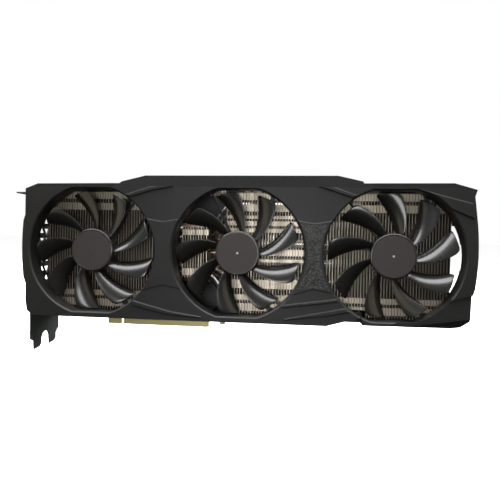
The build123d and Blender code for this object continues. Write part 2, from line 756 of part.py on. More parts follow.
def make_bracket():
    prong_top = bracket_tip_z + 7.3
    mid_y = (bracket_near_y + bracket_far_y) / 2
    slots_y = [first_slot_y, first_slot_y - slot_pitch]
    near, far = slots_y[1], slots_y[0]
    half = prong_w / 2
    notch_y = (near + far) / 2
    with BuildPart() as bracket:
        with BuildSketch(Plane.YZ):
            with BuildLine():
                Polyline(
                    (bracket_near_y, bracket_top_z), (bracket_near_y, prong_top + 1.4),
                    (near - half, prong_top - 0.8), (near - half + 0.6, bracket_tip_z),
                    (near + half - 2.6, bracket_tip_z + 0.6), (near + half, bracket_tip_z + 2.8),
                    (near + half, prong_top), (notch_y - 3.2, prong_top + 3.0),
                    (notch_y, prong_top + 4.2), (notch_y + 3.2, prong_top + 3.0),
                    (far - half, prong_top), (far - half + 0.6, bracket_tip_z),
                    (far + half - 2.6, bracket_tip_z + 0.6), (far + half, bracket_tip_z + 2.8),
                    (far + half, prong_top - 0.4), (bracket_far_y, prong_top + 3.4),
                    (bracket_far_y, bracket_top_z), close=True,
                )
            make_face()
            # display sockets
            with Locations(*[(port_y, z) for z in port_z]):
                Rectangle(port_h + 2 * port_gap, port_w + 2 * port_gap, mode=Mode.SUBTRACT)
            with Locations((port_y, hdmi_z)):
                Rectangle(port_h + 2 * port_gap, hdmi_w + 2 * port_gap, mode=Mode.SUBTRACT)
            # exhaust vents: three columns of triangles beside the sockets
            for row in range(11):
                for column in range(3):
                    turn = 30 + 180 * ((row + column) % 2)
                    with Locations((-15.0 - column * 6.0, 16.0 + row * 7.4)):
                        RegularPolygon(vent_triangle_r, 3, rotation=turn, mode=Mode.SUBTRACT)
        extrude(amount=bracket_t)
        # folded top tab with its screw slots
        with BuildSketch(Plane.XY.offset(bracket_top_z)):
            with Locations(((bracket_t - tab_depth) / 2, mid_y)):
                tab = Rectangle(tab_depth + bracket_t, bracket_far_y - bracket_near_y)
            fillet(tab.vertices().group_by(Axis.X)[0], radius=1.0)
            with Locations(*[(-6.3, y + 1.0) for y in slots_y]):
                SlotOverall(7.0, 4.42, rotation=90, mode=Mode.SUBTRACT)
        extrude(amount=-bracket_t)
        # lugs that the board screws to
        for x, z in bracket_holes:
            with Locations((x - 1.1, -bracket_t / 2 - 0.05, z - 0.5)):
                Box(8.2, bracket_t, 8.0)
        with BuildSketch(front(1)):
            with Locations(*bracket_holes):
                Circle(1.5)
        extrude(amount=4, mode=Mode.SUBTRACT)
    save(bracket, "io_bracket")


def make_sockets():
    outer = Plane.YZ.offset(-port_stand)
    with BuildPart() as display:
        for z in port_z:
            with BuildSketch(outer):
                with Locations((port_y, z)):
                    RectangleRounded(port_h, port_w, 0.8)
            extrude(amount=port_depth)
            with BuildSketch(outer):
                with BuildLine():
                    Polyline(
                        (port_y - 2.5, z - 7.6), (port_y + 2.5, z - 7.6), (port_y + 2.5, z + 7.6),
                        (port_y - 0.6, z + 7.6), (port_y - 2.5, z + 5.7), close=True,
                    )
                make_face()
            extrude(amount=12.0, mode=Mode.SUBTRACT)
            # tongue that carries the contacts
            with Locations((port_depth / 2 - 2.2, port_y + 0.2, z)):
                Box(11.0, 1.3, 12.6)
    save(display, "displayport_sockets")
    with BuildPart() as hdmi:
        with BuildSketch(outer):
            with Locations((port_y, hdmi_z)):
                RectangleRounded(port_h, hdmi_w, 0.8)
        extrude(amount=hdmi_depth)
        with BuildSketch(outer):
            with BuildLine():
                Polyline(
                    (port_y - 2.4, hdmi_z - 5.0), (port_y + 0.6, hdmi_z - 6.9),
                    (port_y + 2.4, hdmi_z - 6.9), (port_y + 2.4, hdmi_z + 6.9),
                    (port_y + 0.6, hdmi_z + 6.9), (port_y - 2.4, hdmi_z + 5.0), close=True,
                )
            make_face()
        extrude(amount=11.0, mode=Mode.SUBTRACT)
        with Locations((hdmi_depth / 2 - 1.5, port_y + 0.3, hdmi_z)):
            Box(10.0, 1.2, 11.0)
    save(hdmi, "hdmi_socket")


def make_backplate():
    with BuildPart() as backplate:
        with BuildSketch(front(backplate_y)):
            with BuildLine():
                Polyline(
                    (4, 110.2), (4, 14), (9, 9.5), (238, 9.5), (244, 14.5), (backplate_right_x - 8, 14.5),
                    (backplate_right_x, 22), (backplate_right_x, 100), (backplate_right_x - 8, 110.2),
                    close=True,
                )
            make_face()
            with Locations((gpu_x, gpu_z)):
                Rectangle(44, 44, mode=Mode.SUBTRACT)
            # slanted exhaust slots over the end that stands past the board
            with Locations(*[(280.0 + 6.0 * n, 62.0) for n in range(5)]):
                SlotOverall(64, 3.4, rotation=80, mode=Mode.SUBTRACT)
            with Locations(*board_holes, *spring_spots):
                Circle(1.5, mode=Mode.SUBTRACT)
        extrude(amount=-backplate_t)
        # raised pads that carry the plate off the board
        with BuildSketch(front(backplate_y)):
            with Locations(*board_holes, *spring_spots):
                Circle(3.2)
                Circle(1.5, mode=Mode.SUBTRACT)
        extrude(amount=backplate_y - board_t)
        # pressed ribs along the plate
        with BuildSketch(front(backplate_y + backplate_t)):
            for z in (30.0, 86.0):
                with Locations((66.0, z)):
                    SlotOverall(56, 4)
                with Locations((205.0, z)):
                    SlotOverall(70, 4)
        extrude(amount=-0.6, taper=30)
    save(backplate, "backplate")


# ---------------------------------------------------------------- screws
def make_screws(label, planes, spots, head, shank, direction=1):
    """Cross-head screws on planes through their heads' outer faces.

    head is (radius, height), and shank is (radius, length below the head).
    """
    head_r, head_h = head
    shank_r, shank_l = shank
    with BuildPart() as screws:
        for plane in planes:
            with BuildSketch(plane):
                with Locations(*spots):
                    Circle(head_r)
            extrude(amount=direction * head_h)
            with BuildSketch(plane):
                with Locations(*spots):
                    Circle(shank_r)
            extrude(amount=direction * (head_h + shank_l))
            with BuildSketch(plane):
                with Locations(*spots):
                    Rectangle(1.2 * head_r, 0.24 * head_r)
                    Rectangle(0.24 * head_r, 1.2 * head_r)
            extrude(amount=direction * head_h / 2, mode=Mode.SUBTRACT)
    save(screws, label)


def make_all_screws():
    fan_rears = [fan_plane(i, frame_y + frame_t) for i in range(fan_count)]
    make_screws("fan_screws", fan_rears, post_positions, (2.0, screw_head), (post_hole_r, 7.1))
    rear_y = backplate_y + backplate_t
    make_screws("backplate_screws", [front(rear_y + 1.3)], board_holes, (2.6, 1.3), (1.35, 6.0))
    make_screws("cooler_screws", [front(rear_y + 1.9)], spring_spots, (2.9, 1.9), (1.3, 9.0))
    side_spots = [(x, shroud_screw_y) for x in shroud_screw_x]
    make_screws("shroud_screws", [Plane.XY.offset(12.2)], side_spots, (2.6, 1.2), (1.15, 3.6))
    lug_plane = front(-bracket_t - 1.25)
    make_screws("bracket_screws", [lug_plane], bracket_holes, (2.4, 1.2), (1.3, 3.0), direction=-1)


make_shroud()
one_blade = make_blade()
for fan in range(fan_count):
    make_fan(fan, one_blade)
make_leads()
make_plugs()
make_stacks()
make_pipes()
make_board()
make_board_parts()
make_power_sockets()
make_cold_plate()
make_base_plate()
make_bracket()
make_sockets()
make_backplate()
make_all_screws()
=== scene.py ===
# %% [markdown]
# # A triple-fan graphics card
#
# A graphics card is a circuit board with a large air cooler on it. This lesson starts from the
# packed engineering model, which already has every part at its real size and place, and gives it
# its finishes: moulded black plastic, nickel-plated fins, painted steel and gold contacts. The
# pieces whose character is in their curves, such as the swept fan blades, are modelled here.

# %% The frame
from contextlib import contextmanager
from math import cos, radians, sin, sqrt, tau

import bmesh
import bpy
from mathutils import Matrix, Vector


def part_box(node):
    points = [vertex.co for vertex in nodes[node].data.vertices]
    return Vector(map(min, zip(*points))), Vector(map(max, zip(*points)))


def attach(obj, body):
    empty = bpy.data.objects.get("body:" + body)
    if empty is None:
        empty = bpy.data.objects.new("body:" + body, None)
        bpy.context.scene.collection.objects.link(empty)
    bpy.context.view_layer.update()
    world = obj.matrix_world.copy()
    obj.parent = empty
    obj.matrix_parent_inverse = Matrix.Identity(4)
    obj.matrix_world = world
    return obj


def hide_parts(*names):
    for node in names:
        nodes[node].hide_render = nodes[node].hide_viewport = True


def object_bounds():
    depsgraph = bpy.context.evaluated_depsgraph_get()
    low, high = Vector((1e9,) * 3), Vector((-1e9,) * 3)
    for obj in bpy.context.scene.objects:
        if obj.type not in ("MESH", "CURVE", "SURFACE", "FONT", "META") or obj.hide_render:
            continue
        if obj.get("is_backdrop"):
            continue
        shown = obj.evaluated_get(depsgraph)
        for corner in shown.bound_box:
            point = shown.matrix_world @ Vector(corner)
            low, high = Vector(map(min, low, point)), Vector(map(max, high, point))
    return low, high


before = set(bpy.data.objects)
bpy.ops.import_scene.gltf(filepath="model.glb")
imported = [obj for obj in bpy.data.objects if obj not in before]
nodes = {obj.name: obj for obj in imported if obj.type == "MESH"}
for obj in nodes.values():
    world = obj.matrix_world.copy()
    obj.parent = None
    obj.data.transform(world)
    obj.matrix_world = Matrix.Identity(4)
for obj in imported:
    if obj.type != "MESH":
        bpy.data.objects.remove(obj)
cad_box = [list(corner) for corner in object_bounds()]
mm = 0.001

# %% [markdown]
# ## Where things are
#
# Every measure of a place comes from the frame, so a change in the engineering model carries
# over. A fan turns about its shaft, and the fan side of the card faces -Y. The same numbers could
# be typed in, but then each one would have to be mended by hand after such a change.

# %% Places read from the frame
fan_names = ["left", "middle", "right"]


def middle_of(node):
    """The middle of a node's box."""
    low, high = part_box(node)
    return (low + high) / 2


def fan_centre(name):
    """The fan's axis at the front of its frame."""
    centre = middle_of(f"fan_{name}_shaft")
    return Vector((centre.x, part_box(f"fan_{name}_motor_board")[1].y, centre.z))


for name in fan_names:
    print(name, "fan at", [round(c / mm, 1) for c in fan_centre(name)], "mm")
shroud_low, shroud_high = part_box("shroud")
print("shroud", [round(v / mm, 1) for v in shroud_high - shroud_low], "mm")

# %% [markdown]
# ## Camera
#
# The camera stands in front of the card, a little to the right of its middle, and turns a few
# degrees to the left. A camera can be aimed by a constraint or by angles. Here its three own axes
# are given as vectors, because they also hold its slight roll and need no target object.

# %% Camera
scene = bpy.context.scene
camera_data = bpy.data.cameras.new("camera")
camera_data.sensor_width = 36.0
camera_data.lens = 31.1
camera_data.clip_start = 0.01
camera = bpy.data.objects.new("camera", camera_data)
scene.collection.objects.link(camera)
camera_spot = Vector((0.1986, -0.3417, 0.0720))
right = Vector((0.99437, 0.10447, 0.01814))
down = Vector((0.02079, -0.02431, -0.99949))
forward = Vector((-0.10397, 0.99423, -0.02635))
turn = Matrix((right, -down, -forward)).transposed().to_4x4()
camera.matrix_world = Matrix.Translation(camera_spot) @ turn
scene.camera = camera
print("camera", round(camera_data.lens, 1), "mm lens at", [round(v, 3) for v in camera_spot])

# %% [markdown]
# ## Shader maths as expressions
#
# A finish is arithmetic on patterns: noise times a little, added to a base roughness. Nodes could
# be added and linked one by one, but a sum of five terms then takes a page. The class below wraps
# a socket so that such sums read as they would on paper: each operator adds one Math node. Any
# other node comes from one method that sets the node up and then feeds its sockets.


# %% Wire: one socket
class Wire:
    """A shader socket that takes part in sums."""

    def __init__(self, tree, socket):
        self.tree, self.socket = tree, socket

    def maths(self, operation, *values):
        inputs = dict(enumerate(values))
        return self.tree.node("ShaderNodeMath", {"operation": operation}, inputs)

    def __add__(self, other):
        return self.maths("ADD", self, other)

    def __sub__(self, other):
        return self.maths("SUBTRACT", self, other)

    def __rsub__(self, other):
        return self.maths("SUBTRACT", other, self)

    def __mul__(self, other):
        return self.maths("MULTIPLY", self, other)

    def __truediv__(self, other):
        return self.maths("DIVIDE", self, other)

    def __gt__(self, other):
        return self.maths("GREATER_THAN", self, other)

    def __lt__(self, other):
        return self.maths("LESS_THAN", self, other)

    __radd__ = __add__
    __rmul__ = __mul__


print("Wire: one Math node for each operator")


# %% Tree: nodes by name
class Tree:
    """A node tree that hands out Wires."""

    def __init__(self, tree):
        self.tree = tree

    def feed(self, socket, value):
        """Gives a socket a link or a constant."""
        if isinstance(value, Wire):
            self.tree.links.new(value.socket, socket)
        else:
            socket.default_value = value

    def node(self, kind, settings=None, inputs=None, output=0):
        """Adds a node: its settings first, then its sockets, and one output as a Wire."""
        made = self.tree.nodes.new(kind)
        for key, value in (settings or {}).items():
            setattr(made, key, value)
        for key, value in (inputs or {}).items():
            self.feed(made.inputs[key], value)
        return Wire(self, made.outputs[output])


print("Tree: any node, and its output as a Wire")

# %% [markdown]
# ## A finish
#
# A finish is one material with its patterns. Patterns read the object's own coordinates in
# metres, so that a grain has its true size and moves with the piece. The plain colour and
# roughness stay behind the links, for a program that shows no patterns.


# %% Finish: one material
class Finish(Tree):
    """One material and the patterns that feed its shader."""

    def __init__(self, name, colour, roughness, metallic=0.0, **sockets):
        self.material = bpy.data.materials.new(name)
        self.material.use_nodes = True
        super().__init__(self.material.node_tree)
        self.shader = self.tree.nodes["Principled BSDF"]
        self.set("Base Color", (*colour, 1.0))
        self.set("Roughness", roughness)
        self.set("Metallic", metallic)
        for socket, value in sockets.items():
            self.set(socket.replace("_", " "), value)
        self.place = self.node("ShaderNodeTexCoord", output="Object")

    def set(self, socket, value):
        self.feed(self.shader.inputs[socket], value)

    def along(self, axis):
        """The place along one axis, in metres."""
        return self.node("ShaderNodeSeparateXYZ", inputs={"Vector": self.place}, output=axis)

    def noise(self, scale, detail=3.0, stretch=None):
        """Soft noise between 0 and 1; scale is in spots per metre."""
        vector = self.place
        if stretch:
            vector = self.node("ShaderNodeMapping", inputs={"Vector": vector, "Scale": stretch})
        inputs = {"Vector": vector, "Scale": scale, "Detail": detail}
        return self.node("ShaderNodeTexNoise", inputs=inputs)

    def cells(self, scale, feature="F1"):
        """Distance to the nearest of many scattered points; scale is in cells per metre."""
        inputs = {"Vector": self.place, "Scale": scale}
        return self.node("ShaderNodeTexVoronoi", {"feature": feature}, inputs, "Distance")

    def mix(self, factor, *colours):
        """A colour between two colours."""
        first, second = (c if isinstance(c, Wire) else (*c, 1.0) for c in colours)
        sockets = {0: factor, 6: first, 7: second}
        return self.node("ShaderNodeMix", {"data_type": "RGBA"}, sockets, output=2)

    def bump(self, height, depth, rounding=None):
        """Relief from a height between 0 and 1 that stands depth millimetres tall.

        rounding is the radius in millimetres that sharp edges are shaded with.
        """
        inputs = {"Height": height, "Distance": depth * mm}
        if rounding:
            radius = {"Radius": rounding * mm}
            inputs["Normal"] = self.node("ShaderNodeBevel", {"samples": 4}, radius)
        self.set("Normal", self.node("ShaderNodeBump", inputs=inputs))


def paint(piece, *materials):
    """Gives a piece these materials in place of its own."""
    piece.data.materials.clear()
    for material in materials:
        piece.data.materials.append(material)


print("a Finish has", ", ".join(k for k in vars(Finish) if not k.startswith("_")))

# %% [markdown] ## Floor  The card stands over a sheet of white paper. Real paper would throw
# light up into the black plastic, which reads best with dark undersides, so other surfaces
# neither see the floor nor take light from it.


# %% Floor
def fresh(kind, stretch=(1, 1, 1), **settings):
    """Adds a primitive with nothing else selected, stretched along its own axes."""
    bpy.ops.object.select_all(action="DESELECT")
    getattr(bpy.ops.mesh, f"primitive_{kind}_add")(**settings)
    piece = bpy.context.object
    piece.scale = stretch
    bpy.ops.object.transform_apply(location=True, rotation=True, scale=True)
    return piece


floor_width, floor_drop = 60.0, 0.6 * mm
floor = fresh("plane", size=floor_width, location=(0.16, 0.8, cad_box[0][2] - floor_drop))
floor.name = "floor"
floor.visible_diffuse = floor.visible_glossy = False
floor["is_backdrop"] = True
paper = Finish("floor_paper", (0.93, 0.93, 0.92), 0.7, Emission_Color=(1, 1, 1, 1), Emission_Strength=0.55)
paper.set("Roughness", paper.noise(8.0) * 0.1 + 0.65)
paint(floor, paper.material)
print("floor", floor_width, "m wide,", round(floor_drop / mm, 1), "mm under the card")

# %% [markdown]
# ## Lamps
#
# Product light is soft. One wide lamp overhead draws the highlights on the blades. A small weak
# one behind the camera and a warm one at each side bring up the hubs and the fins. Lamps behind
# the card light its back and ends for the other views, and a very wide sun fills in. A picture
# of a studio would do the same, but lamps are easier to move one at a time.


# %% Lamps
def lamp(name, size, spot, target, watts, colour=(1, 1, 1)):
    """A soft rectangular lamp that points at a target."""
    data = bpy.data.lights.new(name, "AREA")
    data.shape = "RECTANGLE"
    data.size, data.size_y = size
    data.energy, data.color = watts, colour
    made = bpy.data.objects.new(name, data)
    made.location = spot
    made.rotation_euler = (Vector(target) - Vector(spot)).to_track_quat("-Z", "Y").to_euler()
    made.visible_camera = False
    scene.collection.objects.link(made)


card_middle = (0.16, -0.03, 0.06)
lamp("overhead_lamp", (1.8, 0.9), (0.10, -0.15, 0.80), (0.10, -0.15, 0.0), 38)
lamp("front_lamp", (0.16, 0.12), (0.150, -0.46, 0.060), card_middle, 0.55)
warm = (1.0, 0.86, 0.62)
for side, name in ((-1, "left_lamp"), (1, "right_lamp")):
    beside = (0.16 + side * 0.95, -0.50, 0.10)
    behind = (0.16 + side * 1.0, 0.55, 0.45)
    lamp(name, (0.8, 0.7), beside, card_middle, 1.2, warm)
    lamp(f"{name}_rear", (0.7, 0.7), behind, card_middle, 9)
lamp("rear_lamp", (1.4, 0.5), (0.16, 0.95, 0.55), card_middle, 9)
sky_data = bpy.data.lights.new("sky_lamp", "SUN")
sky_data.angle = radians(100)
sky_data.energy = 0.7
scene.collection.objects.link(bpy.data.objects.new("sky_lamp", sky_data))
print(len(bpy.data.lights), "lamps")

# %% [markdown]
# ## Surround
#
# The surround is white to look at, but lights the card little: dim below and brighter above, as
# in a room with a pale ceiling. A plain grey would light undersides as much as tops. The gradient
# comes from a ray's upward direction, and a second step shows full white to the camera alone.

# %% Surround
world = bpy.data.worlds.new("surround")
scene.world = world
world.use_nodes = True
surround = Tree(world.node_tree)
direction = surround.node("ShaderNodeTexCoord", output="Generated")
upward = surround.node("ShaderNodeSeparateXYZ", inputs={"Vector": direction}, output="Z")
glow = surround.node(
    "ShaderNodeMapRange", inputs={"Value": upward, "From Min": -0.3, "To Min": 0.03, "To Max": 0.34},
)
seen = surround.node("ShaderNodeLightPath", output="Is Camera Ray")
shown = surround.node("ShaderNodeMapRange", inputs={"Value": seen, "To Min": glow, "To Max": 1.0})
background = world.node_tree.nodes["Background"]
surround.feed(background.inputs["Color"], (1, 1, 1, 1))
surround.feed(background.inputs["Strength"], shown)
scene.view_settings.view_transform = "Standard"
print("surround:", len(world.node_tree.nodes), "nodes")

# %% [markdown]
# ## Moulded plastics
#
# The shroud is spark-eroded ABS: almost black, with a fine even grain that breaks up reflections.
# The fan blades are a glossier glass-filled nylon, smooth enough to mirror a lamp softly. A flat
# colour would look like rendered plastic, so each gets a fine grain as bump and a slow drift in
# roughness, because no moulding is perfectly even. The shroud's sharp edges are shaded as if
# rounded by a Bevel node, which spares its mesh thousands of faces, and the brow above the middle
# fan, which the mould's texture left duller, is told by its height.

# %% Shroud and blades
brow_foot = shroud_high.z - 7.9 * mm
brow_dullness = 0.42


def moulded(name, colour, roughness, grain=0.02, spots=2400.0, drift=0.08, rounding=None, **sockets):
    """Moulded plastic with a fine grain and a slow drift in gloss."""
    finish = Finish(name, colour, roughness, **sockets)
    slow = finish.noise(28.0, 4.0)
    fine = finish.noise(spots, 2.0)
    finish.dullness = slow * (2 * drift) + (roughness - drift)
    finish.set("Roughness", finish.dullness)
    lighter = tuple(c * 1.5 + 0.004 for c in colour)
    finish.set("Base Color", finish.mix(slow * 0.5 + fine * 0.3, colour, lighter))
    finish.bump(fine, grain, rounding)
    return finish


def shroud_plastic():
    """Black plastic: satin on the face, and duller on the brow above the middle fan."""
    finish = moulded(
        "shroud_plastic", (0.006, 0.006, 0.0062), 0.5, 0.03, 1900.0, rounding=0.3,
        Specular_IOR_Level=0.36,
    )
    brow = finish.along("Z") > brow_foot
    finish.set("Roughness", brow * brow_dullness + finish.dullness)
    return finish.material


def blade_nylon():
    """Glossy nylon under an uneven thin skin that shines more."""
    finish = moulded(
        "blade_nylon", (0.009, 0.0088, 0.0078), 0.27, 0.006, 900.0, 0.04, Coat_Roughness=0.12,
    )
    finish.set("Coat Weight", finish.noise(60.0) * 0.5 + 0.1)
    return finish.material


shroud_black = shroud_plastic()
blade_black = blade_nylon()
print("brow above", round(brow_foot / mm, 1), "mm;", shroud_black.name, "and", blade_black.name)

# %% [markdown]
# The small mouldings differ only in tint, gloss and grain, so one function makes them all. A
# material shared by all of them would be simpler still, but plugs, sockets and labels come from
# different makers and never match.

# %% Small mouldings
label_grey = moulded("disc_label", (0.017, 0.0135, 0.0128), 0.62, 0.008, 3000.0, 0.05).material
# The bead's light grey is a painted highlight on the end of the shaft.
bead_painted_highlight = moulded("bead_plastic", (0.30, 0.29, 0.28), 0.3, 0.004).material
frame_black = moulded("frame_nylon", (0.014, 0.014, 0.014), 0.5, 0.02).material
socket_black = moulded("socket_nylon", (0.018, 0.018, 0.019), 0.42, 0.015).material
plug_white = moulded("plug_nylon", (0.62, 0.58, 0.49), 0.45, 0.015).material
header_white = moulded("header_nylon", (0.55, 0.53, 0.47), 0.45, 0.015).material
small_mouldings = (label_grey, bead_painted_highlight, frame_black, socket_black, plug_white, header_white)
print("small mouldings:", ", ".join(material.name for material in small_mouldings))

# %% [markdown]
# ## Fin metal
#
# The fins are thin nickel-plated aluminium: each sheet was cut and bent on its own, so each has
# its own tint. Giving every sheet a material of its own would work for a few. Here a sheet's
# number is its place along the card divided by the pitch, rounded down, and a White Noise node
# turns that number into a tint. The flat sides, which face each other across the gaps, are
# picked out by their normal and painted nearly black as painted shade; edges and tabs stay bright.

# %% Fin metal
fin_pitch = 2.0 * mm
# How far the sheets' sides are painted towards black, as painted shade in the gaps between them.
side_painted_shade = 0.82


def fin_metal():
    """Nickel-plated sheets, each with its own tint, bright at the edges, with painted shade on the sides.
    """
    finish = Finish("fin_metal", (0.62, 0.58, 0.50), 0.3, 1.0)
    sheet = finish.node("ShaderNodeMath", {"operation": "FLOOR"}, {0: finish.along("X") / fin_pitch})
    tint = finish.node("ShaderNodeTexWhiteNoise", {"noise_dimensions": "1D"}, {"W": sheet})
    cloud = finish.noise(45.0, 4.0)
    colour = finish.mix(tint, (0.68, 0.62, 0.52), (0.47, 0.42, 0.34))
    colour = finish.mix(cloud * 0.5, colour, (0.40, 0.34, 0.26))
    normal = finish.node("ShaderNodeTexCoord", output="Normal")
    normal_x = finish.node("ShaderNodeSeparateXYZ", inputs={"Vector": normal})
    # Painted shade: the sides that face each other across the gaps turn nearly black.
    sides = finish.node("ShaderNodeMath", {"operation": "ABSOLUTE"}, {0: normal_x}) > 0.5
    finish.set("Base Color", finish.mix(sides * side_painted_shade, colour, (0.05, 0.043, 0.035)))
    finish.set("Roughness", tint * 0.14 + cloud * 0.16 + 0.34)
    finish.bump(finish.noise(2600.0, 2.0, (1.0, 1.0, 0.06)), 0.01)
    return finish.material


fin_nickel = fin_metal()
print(fin_nickel.name, "changes tint every", round(fin_pitch / mm, 1), "mm")

# %% [markdown]
# ## Plated and coated metals
#
# Pipes, plates, screws and contacts are bare or plated metal. What sets them apart is their
# colour, their gloss and the direction of the fine lines that drawing, milling or brushing left,
# so one function takes these three. The lines are a noise squeezed along one axis. A scratch
# texture would need an unwrapped surface, which these many small solids don't have.


# %% Plated metals
def plated(name, colour, roughness, lines=0.008, spots=1500.0, stretch=(1.0, 1.0, 1.0)):
    """Plated or brushed metal with fine drawing lines and a few duller patches."""
    finish = Finish(name, colour, roughness, 1.0)
    patch = finish.noise(70.0, 5.0)
    fine = finish.noise(spots, 3.0, stretch)
    finish.set("Roughness", patch * 0.2 + fine * 0.1 + (roughness - 0.12))
    darker = tuple(c * 0.72 for c in colour)
    finish.set("Base Color", finish.mix(patch * 0.6, colour, darker))
    finish.bump(fine, lines)
    return finish.material


pipe_nickel = plated("pipe_nickel", (0.70, 0.67, 0.62), 0.26, stretch=(0.05, 1.0, 1.0))
plate_copper = plated("plate_copper", (0.50, 0.33, 0.25), 0.34, stretch=(0.1, 1.0, 1.0))
steel_zinc = plated("steel_zinc", (0.60, 0.60, 0.58), 0.34)
screw_black = plated("screw_black", (0.10, 0.10, 0.105), 0.36)
shell_nickel = plated("shell_nickel", (0.72, 0.71, 0.68), 0.28)
pin_tin = plated("pin_tin", (0.66, 0.63, 0.56), 0.3)
contact_gold = plated("contact_gold", (0.98, 0.86, 0.42), 0.42, 0.004, stretch=(1.0, 1.0, 0.1))
die_mirror = plated("die_mirror", (0.42, 0.43, 0.47), 0.12, 0.001)
can_aluminium = plated("can_aluminium", (0.78, 0.78, 0.78), 0.3)
plated_metals = (
    pipe_nickel, plate_copper, steel_zinc, screw_black, shell_nickel, pin_tin, contact_gold,
    die_mirror, can_aluminium,
)
print("plated metals:", ", ".join(material.name for material in plated_metals))

# %% [markdown]
# The bracket and the plate that cools the memory are steel under a sprayed coat, whose slight
# orange peel is a soft cell texture. The backplate is brushed aluminium, anodised black: a dark
# metal whose brushing runs along the card and catches the light in long streaks.


# %% Coated metals
def coated_steel(name, colour, roughness, peel=0.03):
    """Steel under a thin coat of black, with the slight orange peel of spraying."""
    finish = Finish(name, colour, roughness)
    slow, peeled = finish.noise(35.0, 4.0), finish.cells(900.0, "SMOOTH_F1")
    finish.set("Roughness", slow * 0.16 + (roughness - 0.08))
    finish.set("Base Color", finish.mix(slow * 0.6, colour, tuple(c * 1.7 for c in colour)))
    finish.bump(peeled, peel)
    return finish.material


def anodised_plate():
    """Brushed black aluminium: the brushing runs along the card."""
    finish = Finish("anodised_plate", (0.018, 0.018, 0.019), 0.38, 0.85)
    brush = finish.noise(1800.0, 3.0, (0.03, 1.0, 1.0))
    slow = finish.noise(18.0, 3.0)
    finish.set("Base Color", finish.mix(brush, (0.014, 0.014, 0.015), (0.04, 0.04, 0.042)))
    finish.set("Roughness", brush * 0.18 + slow * 0.1 + 0.26)
    finish.bump(brush, 0.012)
    return finish.material


bracket_black = coated_steel("bracket_black", (0.040, 0.047, 0.043), 0.45)
spreader_black = coated_steel("spreader_black", (0.02, 0.02, 0.02), 0.5)
backplate_black = anodised_plate()
print("coated metals:", bracket_black.name, spreader_black.name, backplate_black.name)

# %% [markdown]
# ## Board
#
# A circuit board is glass cloth in resin under a black solder mask, with copper tracks that show
# as faint raised lines. A brick pattern with long low bricks stands in for the tracks: nothing
# can be read in it, and it repeats less visibly than a drawn circuit would. Below the shroud the
# contact tongue is bare and gilded, so the board turns to pale gold under that height.

# %% Board
tongue_top = 7.6 * mm
track_bricks = {"Scale": 240.0, "Mortar Size": 0.06, "Brick Width": 1.7, "Row Height": 0.24}


def solder_mask():
    """Black mask over raised tracks, and pale gold on the tongue."""
    finish = Finish("solder_mask", (0.01, 0.012, 0.011), 0.3)
    rows = {"offset": 0.37, "squash": 1.0}
    tracks = finish.node("ShaderNodeTexBrick", rows, {"Vector": finish.place, **track_bricks}, "Fac")
    tongue = finish.along("Z") < tongue_top
    cloth = finish.noise(900.0, 2.0)
    board = finish.mix(tracks, (0.009, 0.011, 0.010), (0.022, 0.026, 0.023))
    bare = finish.mix(cloth, (0.74, 0.65, 0.30), (0.88, 0.78, 0.42))
    finish.set("Base Color", finish.mix(tongue, board, bare))
    finish.set("Roughness", tongue * 0.12 + cloth * 0.1 + 0.26)
    finish.bump(tracks + cloth * 0.3, 0.02)
    return finish.material


board_black = solder_mask()
print(board_black.name, "is gilded below", round(tongue_top / mm, 1), "mm")

# %% [markdown]
# ## Chips, pads and ceramics
#
# Moulded epoxy, ferrite, thermal pads and ceramic are all powder in a binder. A fine speckle that
# drives colour, roughness and bump together shows that at a glance. One function with a tint is
# enough for all five.


# %% Chips, pads and ceramics
def speckled(name, colour):
    """Powder in a binder: a fine speckle in colour, gloss and height."""
    finish = Finish(name, colour, 0.5)
    speck = finish.noise(2600.0, 3.0)
    finish.set("Base Color", finish.mix(speck, colour, tuple(c * 1.8 + 0.003 for c in colour)))
    finish.set("Roughness", speck * 0.15 + 0.42)
    finish.bump(speck, 0.01)
    return finish.material


substrate_green = speckled("substrate_green", (0.02, 0.09, 0.045))
chip_black = speckled("chip_black", (0.012, 0.012, 0.013))
ferrite_grey = speckled("ferrite_grey", (0.085, 0.085, 0.088))
pad_grey = speckled("pad_grey", (0.30, 0.33, 0.38))
ceramic_tan = speckled("ceramic_tan", (0.30, 0.20, 0.12))
speckles = (substrate_green, chip_black, ferrite_grey, pad_grey, ceramic_tan)
print("speckled:", ", ".join(material.name for material in speckles))

# %% [markdown]
# ## Motor and leads
#
# The stator is a stack of thin steel sheets and the windings are turns of enamelled wire, both
# seen as fine lines square to the fan's axis. Modelled turn by turn they would cost more faces
# than the rest of the card, so a zigzag along the axis draws and raises the lines. The leads wear
# a woven sleeve, whose crossing threads look like small cells at this size.


# %% Motor and leads
def layered(name, colour, dark, pitch):
    """Stacked sheets or turns of wire, seen as fine lines square to the fan's axis."""
    finish = Finish(name, colour, 0.35, 0.9)
    zigzag = {0: finish.along("Y"), 1: pitch / 2}
    line = finish.node("ShaderNodeMath", {"operation": "PINGPONG"}, zigzag) / (pitch / 2)
    finish.set("Base Color", finish.mix(line, dark, colour))
    finish.set("Roughness", 0.5 - line * 0.2)
    finish.bump(line, 0.05)
    return finish.material


def braided(name, colour, pitch=0.9 * mm):
    """Woven sleeve on a lead."""
    finish = Finish(name, colour, 0.6)
    threads = finish.cells(1.6 / pitch)
    slow = finish.noise(50.0)
    finish.set("Base Color", finish.mix(threads, tuple(c * 2.2 for c in colour), colour))
    finish.set("Roughness", slow * 0.2 + 0.5)
    finish.bump(1 - threads, 0.12)
    return finish.material


